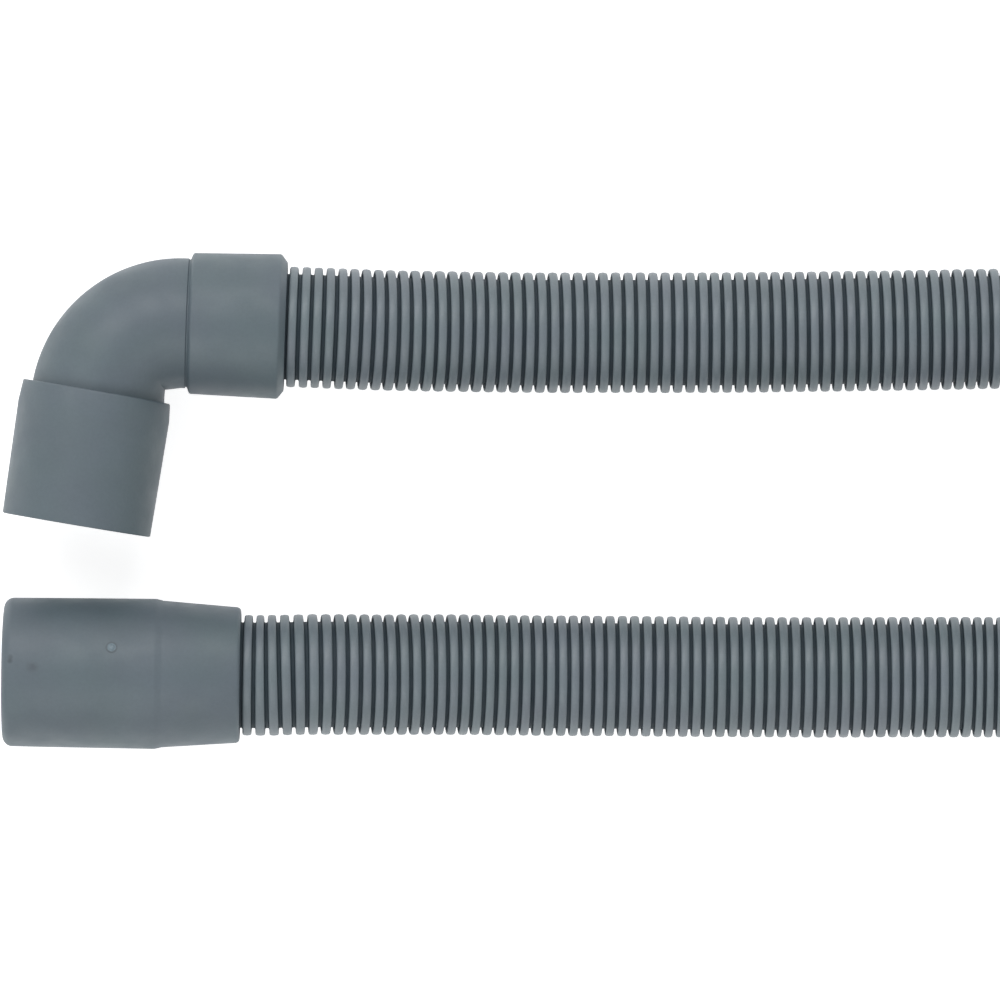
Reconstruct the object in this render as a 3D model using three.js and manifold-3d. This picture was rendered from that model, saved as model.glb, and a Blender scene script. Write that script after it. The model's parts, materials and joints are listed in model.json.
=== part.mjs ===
// Drain hose of a washing machine: a ribbed plastic hose with a moulded rubber elbow on one end
// and a moulded straight rubber socket on the other. It lies on the floor with both ends side by
// side, and the rest of its length is wound into a tied coil.
// Millimetres, +Z up. The origin is under the middle of the two rubber ends, on the floor.

import * as THREE from 'three';
import { mergeVertices } from 'three/addons/utils/BufferGeometryUtils.js';
import Module from 'manifold-3d';

const wasm = await Module();
wasm.setup();

// Hose
const hoseDiameter = 24.5;
const turnGap = 0.3;
const touchGap = 0.3;

// What both rubber ends share
const hoseFit = 0.3;
const hoseSocketDepth = 15;
const mouthBore = 22.4;
const passageBore = 18.5;

// Elbow
const elbowExit = [28.7, 35.37];
const bendRadius = 17.3;
const bendWall = 3.95;
const hoseAxisTilt = 2.0;
const mouthAxisTilt = 8.7;
const elbowMouthWall = 3.95;
const elbowMouthLength = 26.4;
const elbowMouthDepth = 22;
const elbowMouthEdge = 0.35;
const elbowMouthShoulderEdge = 0.8;
const elbowNeckLength = 1.4;
const elbowCuffLength = 19.1;
const elbowCuffWallAtNeck = 1.7;
const elbowCuffWallAtEnd = 2.1;
const elbowCuffEdge = 0.5;
const elbowEndBevel = 1.0;
const elbowEndLip = 0.4;

// Straight end
const straightExit = [19.8, -35.38];
const straightAxisTilt = 0.8;
const straightMouthWall = 3.9;
const straightSocketWall = 2.4;
const straightMouthDepth = 28;
const straightMouthEdge = 2.0;
const straightBodyLength = 31.3;
const straightStepLength = 1.4;
const straightStep = 0.4;
const straightConeLength = 15.8;
const straightEndWall = 1.2;
const straightEndEdge = 0.5;

// Coil of the hose's spare length: two turns, one on the other
const coilNearPoint = [283.75, 2];
const coilRadius = 122.5;
const coilTurns = 2;

// Strap round the coil
const strapWidth = 4.8;
const strapThickness = 1.2;
const strapBite = 1.5;
const strapHead = [4.6, 6.6, 6.0];
const strapTailLength = 13;

// Facets
const endFacets = 36;
const bendSteps = 10;
const edgeSteps = 3;
const tubeFacets = 12;
const tubeSteps = 13;
const coilFacets = 60;
const coilArcSteps = 6;

// Route of the hose beyond the rubber ends, chosen by hand: x, y and how far the hose is lifted
// off the floor. It goes along the floor, then outwards to the coil. Each list starts outside its
// rubber end and ends inside the coil's outline. The straight end's run comes down from the upper
// turn.
const elbowRoute = [
  [39, 35, 2.75],
  [47.3, 34.7, 2.35],
  [63.2, 34.4, 1.35],
  [79, 34.2, 0.55],
  [94.9, 34.2, 0.12],
  [110.8, 34.2, 0],
  [126.6, 34.3, 0],
  [142.5, 34.5, 0],
  [156.5, 34.7, 0],
  [170.5, 34.95, 0],
  [184.5, 35.1, 0],
  [198.5, 35.1, 0],
  [213, 35, 0],
  [228.9, 35.05, 0],
  [242.8, 35.4, 0],
  [257.8, 37.2, 0],
  [272.1, 41, 0],
  [286, 47, 0],
  [298.7, 54.9, 0],
  [310.1, 64.6, 0],
  [320.3, 75.7, 0],
];
const straightRoute = [
  [31, -35.3, 2.75],
  [46, -35.3, 2.05],
  [62.2, -35.3, 1.1],
  [78, -35.5, 0.42],
  [93.9, -35.6, 0.08],
  [109.9, -35.75, 0],
  [125.9, -35.85, 0],
  [139.4, -35.9, 0],
  [152.9, -35.85, 0],
  [168.7, -35.85, 0],
  [184.6, -35.9, 0.98],
  [200.4, -35.85, 4.03],
  [216.3, -35.7, 8.86],
  [232.4, -35.5, 13.65],
  [247.4, -36, 17.32],
  [262.3, -38.3, 20.29],
  [276.6, -42.5, 22.49],
  [290.3, -48.7, 23.97],
  [302.9, -56.7, 24.69],
  [314.5, -66.5, 24.8],
  [324.8, -77.3, 24.8],
];
const pointsInsideCoil = 2;

// Sizes that follow
const hoseRadius = hoseDiameter / 2;
const hoseSocketRadius = hoseRadius + hoseFit;
const mouthRadius = mouthBore / 2;
const passageRadius = passageBore / 2;
const bendTubeRadius = passageRadius + bendWall;
const elbowMouthRadius = mouthRadius + elbowMouthWall;
const elbowCuffRadiusAtNeck = hoseSocketRadius + elbowCuffWallAtNeck;
const elbowCuffRadiusAtEnd = hoseSocketRadius + elbowCuffWallAtEnd;
const elbowHoseLength = elbowNeckLength + elbowCuffLength;
const elbowLevel = Math.max(elbowMouthRadius, elbowCuffRadiusAtEnd);
const straightRadius = Math.max(mouthRadius + straightMouthWall, hoseSocketRadius + straightSocketWall);
const straightEndRadius = hoseSocketRadius + straightEndWall;
const straightLength = straightBodyLength + straightStepLength + straightConeLength;
const coilHeight = coilTurns * hoseDiameter + (coilTurns - 1) * turnGap;
const coilCentre = [coilNearPoint[0] + hoseRadius + coilRadius, coilNearPoint[1]];

const radians = THREE.MathUtils.degToRad;

// A geometry's shared vertices merged, so that its body is closed.
function closed(geometry) {
  const bare = geometry.clone();
  bare.deleteAttribute('normal');
  bare.deleteAttribute('uv');
  return mergeVertices(bare);
}

function toSolid(geometry) {
  const merged = closed(geometry);
  const vertProperties = new Float32Array(merged.attributes.position.array);
  const triVerts = new Uint32Array(merged.index.array);
  return new wasm.Manifold(new wasm.Mesh({ numProp: 3, vertProperties, triVerts }));
}

function toGeometry(solid) {
  const mesh = solid.getMesh();
  const geometry = new THREE.BufferGeometry();
  geometry.setAttribute('position', new THREE.BufferAttribute(mesh.vertProperties, 3));
  geometry.setIndex(new THREE.BufferAttribute(mesh.triVerts, 1));
  geometry.computeVertexNormals();
  return geometry;
}

// Points of a quarter round from one corner side to the other, as [radius, height] pairs.
function roundedEdge(centreR, centreH, edge, fromDegrees, toDegrees) {
  const points = [];
  for (let k = 0; k <= edgeSteps; k += 1) {
    const angle = radians(fromDegrees + ((toDegrees - fromDegrees) * k) / edgeSteps);
    points.push([centreR + edge * Math.cos(angle), centreH + edge * Math.sin(angle)]);
  }
  return points;
}

// A turned solid about local +Y. The profile runs round the solid with its inside on the left.
function turned(profile, facets) {
  const points = profile.map(([r, h]) => new THREE.Vector2(r, h));
  return new THREE.LatheGeometry(points, facets);
}

function plug(radius, from, to, facets = endFacets) {
  return turned([[0, from], [radius, from], [radius, to], [0, to]], facets);
}

function regularShape(radius, sides) {
  const points = [];
  for (let k = 0; k < sides; k += 1) {
    const angle = (2 * Math.PI * k) / sides;
    points.push(new THREE.Vector2(radius * Math.cos(angle), radius * Math.sin(angle)));
  }
  return new THREE.Shape(points);
}

// Centreline of the bend about the local origin, from the hose side round to the mouth side.
class BendLine extends THREE.Curve {
  constructor(overrun) {
    super();
    this.from = radians(90 - hoseAxisTilt) - overrun / bendRadius;
    this.to = radians(180 - mouthAxisTilt) + overrun / bendRadius;
  }

  getPoint(t, target = new THREE.Vector3()) {
    const angle = this.from + (this.to - this.from) * t;
    return target.set(bendRadius * Math.cos(angle), bendRadius * Math.sin(angle), 0);
  }
}

function bendTube(radius, overrun) {
  return new THREE.ExtrudeGeometry(regularShape(radius, endFacets), {
    steps: bendSteps,
    extrudePath: new BendLine(overrun),
    bevelEnabled: false,
  });
}

// A direction in the floor's plane, in degrees from +X towards +Y.
function levelDirection(degrees) {
  return new THREE.Vector3(Math.cos(radians(degrees)), Math.sin(radians(degrees)), 0);
}

// Lays a solid that was turned about +Y along a direction, from a start point.
function laid(geometry, start, direction) {
  const turn = new THREE.Quaternion().setFromUnitVectors(new THREE.Vector3(0, 1, 0), direction);
  return geometry.clone().applyQuaternion(turn).translate(start.x, start.y, start.z);
}

const hoseSide = {
  start: new BendLine(0).getPoint(0),
  direction: levelDirection(-hoseAxisTilt),
};
const mouthSide = {
  start: new BendLine(0).getPoint(1),
  direction: levelDirection(-90 - mouthAxisTilt),
};

// Elbow: mouth cuff, bend and hose cuff moulded as one, hollow from end to end.
function elbowGeometry() {
  const join = 0.5;
  const mouthCuff = turned(
    [
      [0, -join],
      [bendTubeRadius - join, -join],
      [bendTubeRadius - join, 0],
      ...roundedEdge(
        elbowMouthRadius - elbowMouthShoulderEdge,
        elbowMouthShoulderEdge,
        elbowMouthShoulderEdge,
        -90,
        0,
      ),
      ...roundedEdge(
        elbowMouthRadius - elbowMouthEdge,
        elbowMouthLength - elbowMouthEdge,
        elbowMouthEdge,
        0,
        90,
      ),
      [0, elbowMouthLength],
    ],
    endFacets,
  );
  const hoseCuff = turned(
    [
      [0, 0],
      [bendTubeRadius, 0],
      [bendTubeRadius, elbowNeckLength],
      ...roundedEdge(
        elbowCuffRadiusAtNeck - elbowCuffEdge,
        elbowNeckLength + elbowCuffEdge,
        elbowCuffEdge,
        -90,
        0,
      ),
      [elbowCuffRadiusAtEnd, elbowHoseLength - elbowEndBevel],
      [hoseSocketRadius + elbowEndLip, elbowHoseLength],
      [0, elbowHoseLength],
    ],
    endFacets,
  );
  const overrun = 1;
  const socketFrom = elbowHoseLength - hoseSocketDepth;
  const mouthBoreFrom = elbowMouthLength - elbowMouthDepth;
  const cut = (side, radius, from, to) =>
    toSolid(laid(plug(radius, from, to), side.start, side.direction));
  return toGeometry(
    toSolid(bendTube(bendTubeRadius, join))
      .add(toSolid(laid(mouthCuff, mouthSide.start, mouthSide.direction)))
      .add(toSolid(laid(hoseCuff, hoseSide.start, hoseSide.direction)))
      .subtract(toSolid(bendTube(passageRadius, join)))
      .subtract(cut(hoseSide, passageRadius, 0, socketFrom + overrun))
      .subtract(cut(hoseSide, hoseSocketRadius, socketFrom, elbowHoseLength + overrun))
      .subtract(cut(mouthSide, passageRadius, 0, mouthBoreFrom + overrun))
      .subtract(cut(mouthSide, mouthRadius, mouthBoreFrom, elbowMouthLength + overrun)),
  );
}

// Straight end, turned about +Y with its mouth at the origin.
function straightGeometry() {
  const socketFrom = straightLength - hoseSocketDepth;
  return closed(
    turned(
      [
        [mouthRadius, 0],
        ...roundedEdge(straightRadius - straightMouthEdge, straightMouthEdge, straightMouthEdge, -90, 0),
        [straightRadius, straightBodyLength],
        [straightRadius - straightStep, straightBodyLength + straightStepLength],
        ...roundedEdge(
          straightEndRadius - straightEndEdge,
          straightLength - straightEndEdge,
          straightEndEdge,
          0,
          90,
        ),
        [hoseSocketRadius, straightLength],
        [hoseSocketRadius, socketFrom],
        [passageRadius, socketFrom],
        [passageRadius, straightMouthDepth],
        [mouthRadius, straightMouthDepth],
        [mouthRadius, 0],
      ],
      endFacets,
    ),
  );
}

// Outline of the coil's section, as points about its own middle: half rounds over straight sides.
function coilOutline(inset) {
  const radius = hoseRadius - inset;
  const rise = coilHeight / 2 - hoseRadius;
  const points = [];
  for (let k = 0; k <= coilArcSteps; k += 1) {
    const angle = (Math.PI * k) / coilArcSteps;
    points.push(new THREE.Vector2(radius * Math.cos(angle), rise + radius * Math.sin(angle)));
  }
  for (let k = 0; k <= coilArcSteps; k += 1) {
    const angle = Math.PI * (1 + k / coilArcSteps);
    points.push(new THREE.Vector2(radius * Math.cos(angle), -rise + radius * Math.sin(angle)));
  }
  return points;
}

// Ring of the coil's outer shape about the coil's own middle, grown by a clearance.
function coilRing(clearance) {
  const section = coilOutline(-clearance);
  const profile = [...section, section[0]].map((p) => [coilRadius + p.x, p.y]);
  return turned(profile, coilFacets).rotateX(Math.PI / 2);
}

// A band round the coil's section on its far side, between two insets from the outline.
function coilBand(outerInset, innerInset, width) {
  const shape = new THREE.Shape(coilOutline(outerInset));
  shape.holes.push(new THREE.Path(coilOutline(innerInset)));
  return new THREE.ExtrudeGeometry(shape, { depth: width, bevelEnabled: false })
    .translate(0, 0, -width / 2)
    .rotateX(Math.PI / 2)
    .translate(coilRadius, 0, 0);
}

function coilGeometry() {
  const groove = coilBand(-touchGap, strapBite, strapWidth + 2 * touchGap);
  return toGeometry(toSolid(coilRing(0)).subtract(toSolid(groove)));
}

// Strap: a band pulled into the hose, with its head on a short neck on the inner side and the cut
// tail standing out of the head.
function strapGeometry() {
  const bandInset = strapBite - touchGap;
  const band = coilBand(bandInset - strapThickness, bandInset, strapWidth);
  const [headDepth, headWidth, headHeight] = strapHead;
  const headFace = coilRadius - hoseRadius - touchGap;
  const neckDepth = touchGap + strapThickness;
  const head = new THREE.BoxGeometry(headDepth, headWidth, headHeight);
  head.translate(headFace - headDepth / 2, 0, 0);
  const neck = new THREE.BoxGeometry(neckDepth, strapWidth, headHeight);
  neck.translate(headFace - touchGap + neckDepth / 2, 0, 0);
  const tail = new THREE.BoxGeometry(strapThickness, strapWidth, strapTailLength);
  tail.translate(headFace - headDepth / 2, 0, strapTailLength / 2);
  return toGeometry(toSolid(band).add(toSolid(head)).add(toSolid(neck)).add(toSolid(tail)));
}

// A plain tube from a rubber end's socket to the coil. It is straight in the socket and for a
// little way out, then follows its route, and meets the coil face to face.
function hoseRun(exit, direction, route) {
  const straightOut = 2;
  const join = 0.5;
  const stub = plug(hoseRadius, touchGap - hoseSocketDepth, straightOut + join, tubeFacets);
  const points = route
    .slice(0, -pointsInsideCoil)
    .map(([x, y, lift]) => new THREE.Vector3(x, y, hoseRadius + lift));
  const start = exit.clone().addScaledVector(direction, straightOut);
  const line = new THREE.CatmullRomCurve3([start, ...points], false, 'centripetal');
  const tube = new THREE.ExtrudeGeometry(regularShape(hoseRadius, tubeFacets), {
    steps: tubeSteps,
    extrudePath: line,
    bevelEnabled: false,
  });
  const ring = coilRing(touchGap).translate(coilCentre[0], coilCentre[1], coilHeight / 2);
  return toGeometry(toSolid(tube).subtract(toSolid(ring)).add(toSolid(laid(stub, exit, direction))));
}

const rubber = new THREE.MeshStandardMaterial({ color: 0x727a80, roughness: 0.75, metalness: 0 });
const ribbedPlastic = new THREE.MeshStandardMaterial({ color: 0x7e878d, roughness: 0.6, metalness: 0 });
const strapNylon = new THREE.MeshStandardMaterial({ color: 0x25272a, roughness: 0.5, metalness: 0 });

const hose = new THREE.Group();

function piece(name, geometry, material) {
  const mesh = new THREE.Mesh(geometry, material);
  mesh.name = name;
  hose.add(mesh);
  return mesh;
}

const elbow = piece('elbow_end', elbowGeometry(), rubber);
const elbowHoleCentre = new THREE.Vector3(...elbowExit, elbowLevel);
elbow.position
  .copy(elbowHoleCentre)
  .addScaledVector(hoseSide.direction, -elbowHoseLength)
  .sub(hoseSide.start);

const straightDirection = levelDirection(-straightAxisTilt);
const straightHoleCentre = new THREE.Vector3(...straightExit, straightRadius);
const straight = piece('straight_end', straightGeometry(), rubber);
straight.position.copy(straightHoleCentre).addScaledVector(straightDirection, -straightLength);
straight.quaternion.setFromUnitVectors(new THREE.Vector3(0, 1, 0), straightDirection);

piece('hose_elbow_run', hoseRun(elbowHoleCentre, hoseSide.direction, elbowRoute), ribbedPlastic);
piece(
  'hose_straight_run',
  hoseRun(straightHoleCentre, straightDirection, straightRoute),
  ribbedPlastic,
);

const coil = piece('hose_coil', coilGeometry(), ribbedPlastic);
coil.position.set(coilCentre[0], coilCentre[1], coilHeight / 2);

const strap = piece('coil_strap', strapGeometry(), strapNylon);
strap.position.copy(coil.position);

export default hose;
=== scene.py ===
# Drain hose: a ribbed hose with a rubber elbow and a straight rubber socket, seen from above.
# Metres, +Z up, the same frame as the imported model.

import json
import math
import random

import bpy
import numpy as np
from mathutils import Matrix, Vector

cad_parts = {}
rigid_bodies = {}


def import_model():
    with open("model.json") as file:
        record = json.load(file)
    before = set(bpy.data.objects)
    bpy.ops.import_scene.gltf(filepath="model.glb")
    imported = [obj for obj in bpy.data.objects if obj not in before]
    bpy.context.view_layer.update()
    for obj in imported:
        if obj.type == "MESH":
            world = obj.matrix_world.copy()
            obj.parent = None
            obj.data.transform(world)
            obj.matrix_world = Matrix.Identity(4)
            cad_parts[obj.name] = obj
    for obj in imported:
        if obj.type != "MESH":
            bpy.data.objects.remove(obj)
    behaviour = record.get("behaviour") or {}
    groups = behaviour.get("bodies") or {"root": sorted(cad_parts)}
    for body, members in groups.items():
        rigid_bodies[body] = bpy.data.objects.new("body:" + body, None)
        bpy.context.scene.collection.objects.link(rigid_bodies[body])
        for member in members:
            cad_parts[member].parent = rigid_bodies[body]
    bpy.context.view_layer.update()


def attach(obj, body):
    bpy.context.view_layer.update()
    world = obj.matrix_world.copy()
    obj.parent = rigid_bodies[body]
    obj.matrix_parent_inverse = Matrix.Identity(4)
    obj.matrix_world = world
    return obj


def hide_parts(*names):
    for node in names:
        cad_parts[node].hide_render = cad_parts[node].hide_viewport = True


for startingObject in list(bpy.data.objects):
    bpy.data.objects.remove(startingObject)

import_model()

mm = 0.001


def say(stage):
    print("scene:", stage)


# Camera: straight above the hose, a little left of the picture's middle

camera = {
    "imageSize": 1000,
    "metresPerPixel": 0.2033 * mm,
    "originPixel": (143.2, 500.85),
    "lensPixel": (370.0, 500.0),
    "distancePixels": 9000,
    "sensor": 36.0,
    "axisHeight": 13 * mm,
    "clipStart": 0.05,
    "clipEnd": 50,
}


def aimCamera(c):
    viewWidth = c["imageSize"] * c["metresPerPixel"]
    distance = c["distancePixels"] * c["metresPerPixel"]
    data = bpy.data.cameras.new("camera")
    data.sensor_width = c["sensor"]
    data.lens = c["sensor"] * distance / viewWidth
    data.shift_x = (c["imageSize"] / 2 - c["lensPixel"][0]) / c["imageSize"]
    data.shift_y = (c["lensPixel"][1] - c["imageSize"] / 2) / c["imageSize"]
    data.clip_start = c["clipStart"]
    data.clip_end = c["clipEnd"]
    seen = bpy.data.objects.new("camera", data)
    bpy.context.scene.collection.objects.link(seen)
    seen.location = (
        (c["lensPixel"][0] - c["originPixel"][0]) * c["metresPerPixel"],
        (c["originPixel"][1] - c["lensPixel"][1]) * c["metresPerPixel"],
        c["axisHeight"] + distance,
    )
    bpy.context.scene.camera = seen


aimCamera(camera)
say("camera aimed")


# Hose

hose = {
    "crest": 12.3 * mm,
    "root": 10.75 * mm,
    "wall": 0.8 * mm,
    "ribBase": 1.83 * mm,
    "ribCrest": 1.66 * mm,
    "flank": 0.04 * mm,
    "flankDrop": 0.50 * mm,
    "crestDrop": 0.24 * mm,
    "crestEdge": 0.25 * mm,
    "crestEdgeDrop": 0.08 * mm,
    "coilPitch": 2.52 * mm,
    "socketPitch": 2.56 * mm,
    "elbowGrooves": (28.98 * mm, 2.574 * mm, 0.00097 * mm),
    "straightGrooves": (19.81 * mm, 2.565 * mm, 0.00053 * mm),
    "seenReach": 176 * mm,
    "strandSearch": 200 * mm,
    "endGap": 1 * mm,
    "ribWander": 0.03 * mm,
    "ribShrink": 0.003,
    "seenSides": 36,
    "coilSides": 18,
    "seenTo": 190 * mm,
    "inside": 30 * mm,
    "boreSlope": 0.2,
    "lineStep": 0.5 * mm,
    "pathEvery": 10,
    "sharpAngle": 52,
    "strapHalf": 3.2 * mm,
    "strapRadius": 10.75 * mm,
}

# The rubber ends' axes, from the CAD model: where the hose leaves each end, and which way
elbowExit = Vector((28.7, 35.37, 15.15)) * mm
straightExit = Vector((19.8, -35.38, 15.10)) * mm
elbowAxis = Vector((math.cos(math.radians(-2.0)), math.sin(math.radians(-2.0)), 0))
straightAxis = Vector((math.cos(math.radians(-0.8)), math.sin(math.radians(-0.8)), 0))
socketDepth = 15 * mm
socketGap = 0.3 * mm
socketMiddle = 7 * mm
straightOut = 4 * mm

# The route outside the ends, as x, y and how far the hose is lifted off the floor, in millimetres
elbowRoute = [
    (39, 35, 2.75), (47.3, 34.7, 2.35), (63.2, 34.4, 1.35), (79, 34.2, 0.55), (94.9, 34.2, 0.12),
    (110.8, 34.2, 0), (126.6, 34.3, 0), (142.5, 34.5, 0), (156.5, 34.7, 0), (170.5, 34.95, 0),
    (184.5, 35.1, 0), (198.5, 35.1, 0), (213, 35, 0), (228.9, 35.05, 0), (242.8, 35.4, 0),
    (257.8, 37.2, 0), (272.1, 41, 0), (286, 47, 0), (298.7, 54.9, 0), (310.1, 64.6, 0), (320.3, 75.7, 0),
]
straightRoute = [
    (31, -35.3, 2.75), (46, -35.3, 2.05), (62.2, -35.3, 1.1), (78, -35.5, 0.42), (93.9, -35.6, 0.08),
    (109.9, -35.75, 0), (125.9, -35.85, 0), (139.4, -35.9, 0), (152.9, -35.85, 0), (168.7, -35.85, 0),
    (184.6, -35.9, 0.98), (200.4, -35.85, 4.03), (216.3, -35.7, 8.86), (232.4, -35.5, 13.65),
    (247.4, -36, 17.32), (262.3, -38.3, 20.29), (276.6, -42.5, 22.49), (290.3, -48.7, 23.97),
    (302.9, -56.7, 24.69), (314.5, -66.5, 24.8), (324.8, -77.3, 24.8),
]

# The tied coil, in millimetres and degrees
coil = {
    "centre": (418.5, 2.0),
    "radius": 122.5,
    "joinAngle": 136.15,
    "leaveAngle": -132.78,
    "turnRise": 24.8,
    "climbAfter": 10.3,
    "climbArc": 70.2,
    "steepShare": 0.65,
    "pointsPerTurn": 24,
}


def coilPoints(c):
    firstPass = c["joinAngle"] - c["leaveAngle"]
    gap = 360 - firstPass
    climbFrom = firstPass + c["climbAfter"]
    total = 2 * firstPass + gap
    steps = round(total / 360 * c["pointsPerTurn"])
    points = []
    for k in range(steps + 1):
        swept = total * k / steps
        angle = math.radians(c["joinAngle"] - swept)
        up = min(max((swept - climbFrom) / c["climbArc"], 0), 1)
        steep = up ** 3 * (10 - 15 * up + 6 * up ** 2)
        gentle = 0.5 - 0.5 * math.cos(math.pi * up)
        lift = c["turnRise"] * (c["steepShare"] * steep + (1 - c["steepShare"]) * gentle)
        x = c["centre"][0] + c["radius"] * math.cos(angle)
        y = c["centre"][1] + c["radius"] * math.sin(angle)
        points.append((x, y, lift))
    return points


finerSteps = 8


def smoothLine(points, step):
    # A natural cubic through the points by chord length, in finer steps, then in even ones along it
    points = np.array(points, float)
    t = np.concatenate([[0], np.cumsum(np.linalg.norm(np.diff(points, axis=0), axis=1))])
    n = len(t)
    h = np.diff(t)
    system = np.zeros((n, n))
    right = np.zeros((n, 3))
    system[0, 0] = system[-1, -1] = 1
    for i in range(1, n - 1):
        system[i, i - 1:i + 2] = h[i - 1], 2 * (h[i - 1] + h[i]), h[i]
        right[i] = 6 * ((points[i + 1] - points[i]) / h[i] - (points[i] - points[i - 1]) / h[i - 1])
    second = np.linalg.solve(system, right)
    fine = np.arange(0, t[-1], step / finerSteps)
    k = np.clip(np.searchsorted(t, fine, side="right") - 1, 0, n - 2)
    a = (t[k + 1] - fine)[:, None]
    b = (fine - t[k])[:, None]
    hk = h[k][:, None]
    line = (
        second[k] * a ** 3 / (6 * hk)
        + second[k + 1] * b ** 3 / (6 * hk)
        + (points[k] / hk - second[k] * hk / 6) * a
        + (points[k + 1] / hk - second[k + 1] * hk / 6) * b
    )
    line = np.vstack([line, points[-1]])
    along = np.concatenate([[0], np.cumsum(np.linalg.norm(np.diff(line, axis=0), axis=1))])
    even = np.linspace(0, along[-1], round(along[-1] / step) + 1)
    return np.column_stack([np.interp(even, along, line[:, i]) for i in range(3)]), even


def hoseRoute():
    crest = hose["crest"]
    fromSocket = (socketGap - socketDepth, -socketMiddle, 0, straightOut)
    inElbow = [elbowExit + elbowAxis * d for d in fromSocket]
    inStraight = [straightExit + straightAxis * d for d in fromSocket[::-1]]
    between = elbowRoute + coilPoints(coil) + straightRoute[::-1]
    lying = [(x * mm, y * mm, crest + lift * mm) for x, y, lift in between]
    return [tuple(p) for p in inElbow] + lying + [tuple(p) for p in inStraight]


line, along = smoothLine(hoseRoute(), hose["lineStep"])
# Nowhere lower than the ribs can lie on the floor
line[:, 2] = np.maximum(line[:, 2], hose["crest"])
heading = np.gradient(line, along, axis=0)
hoseLength = float(along[-1])


def topFromAbove(c):
    # Where the top of the hose appears from the camera, on the level of its axis
    distance = c["distancePixels"] * c["metresPerPixel"]
    lensX = (c["lensPixel"][0] - c["originPixel"][0]) * c["metresPerPixel"]
    topX = line[:, 0] - hose["crest"] * heading[:, 2]
    topZ = line[:, 2] + hose["crest"] * np.sqrt(1 - heading[:, 2] ** 2)
    return lensX + (topX - lensX) * distance / (distance + c["axisHeight"] - topZ)


def seenGrooves(first, pitch, closing, reach, fromFarEnd):
    # Middles of the grooves as the photograph spaces them, the pitch closing up a little
    count = np.arange(round(reach / pitch) + 8)
    wanted = first + pitch * count - closing * count ** 2
    wanted = wanted[wanted < reach]
    appears = topFromAbove(camera)
    if fromFarEnd:
        near = along > hoseLength - hose["strandSearch"]
        return np.interp(wanted, appears[near][::-1], along[near][::-1]).tolist()
    near = along < hose["strandSearch"]
    return np.interp(wanted, appears[near], along[near]).tolist()


def groovePlaces(h):
    fromElbow = seenGrooves(*h["elbowGrooves"], h["seenReach"], False)
    fromStraight = seenGrooves(*h["straightGrooves"], h["seenReach"], True)
    space = fromStraight[-1] - fromElbow[-1]
    count = round(space / h["coilPitch"])
    between = [fromElbow[-1] + space * k / count for k in range(1, count)]
    pitch = h["socketPitch"]
    inElbow = list(np.arange(fromElbow[0] - pitch, h["endGap"], -pitch))[::-1]
    inStraight = list(np.arange(fromStraight[0] + pitch, hoseLength - h["endGap"], pitch))
    return inElbow + fromElbow + between + fromStraight[::-1] + inStraight


def strapPasses(c):
    # Where the hose passes under the strap, on the coil's far side, once a turn
    across = line[:, 1] - c["centre"][1] * mm
    far = line[:, 0] > c["centre"][0] * mm
    crossing = np.nonzero((across[1:] * across[:-1] <= 0) & far[1:])[0]
    return along[crossing]


# The depth mark at the bottom of a groove, and the tone of a ring that belongs to no rib
fullDepth = 1.0
middleTone = 0.5


def hoseRings(h, grooves, passes):
    # Rows of distance, radius, number of sides, depth in the groove and the rib's own tone
    halfRib = [
        (h["ribCrest"] / 2 - h["crestEdge"], h["crest"] - h["crestEdgeDrop"]),
        (h["ribCrest"] / 2, h["crest"] - h["crestDrop"]),
        (h["ribBase"] / 2 - h["flank"], h["crest"] - h["flankDrop"]),
        (h["ribBase"] / 2, h["root"]),
    ]
    fineRib = [(-offset, radius) for offset, radius in halfRib[::-1]] + [(0, h["crest"])] + halfRib
    plainRib = [
        (-h["ribBase"] / 2, h["root"]), (-h["ribCrest"] / 2, h["crest"]),
        (h["ribCrest"] / 2, h["crest"]), (h["ribBase"] / 2, h["root"]),
    ]
    chance = random.Random(7)
    rings = [(0.0, h["root"], h["seenSides"], fullDepth, middleTone)]
    for near, far in zip(grooves[:-1], grooves[1:]):
        middle = (near + far) / 2 + chance.uniform(-1, 1) * h["ribWander"]
        grow = 1 - chance.uniform(0, 1) * h["ribShrink"]
        tone = chance.uniform(0, 1)
        seen = float(np.interp(middle, along, line[:, 0])) < h["seenTo"]
        sides = h["seenSides"] if seen else h["coilSides"]
        strapped = min(abs(middle - p) for p in passes) < h["strapHalf"]
        for offset, radius in (fineRib if seen else plainRib):
            if strapped:
                radius = min(radius, h["strapRadius"])
            depth = (h["crest"] - radius) / (h["crest"] - h["root"])
            place = middle + offset * (far - near) / h["coilPitch"]
            rings.append((place, radius * grow, sides, depth, tone))
    rings.append((hoseLength, h["root"], h["seenSides"], fullDepth, middleTone))
    return rings


def insideRings(h, grooves):
    # The bore that shows through a rubber end, from its bottom out to the hose's cut end
    rings = []
    for near, far in zip(grooves[:-1], grooves[1:]):
        if near > h["inside"]:
            break
        slope = (far - near) * h["boreSlope"]
        for place, radius in (
            (near, h["root"] - h["wall"]), (near + slope, h["crest"] - h["wall"]),
            (far - slope, h["crest"] - h["wall"]), (far, h["root"] - h["wall"]),
        ):
            rings.append((place, radius, h["seenSides"], fullDepth, middleTone))
    return rings[::-1] + [(0.0, h["root"] - h["wall"], h["seenSides"], fullDepth, middleTone)]


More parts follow.
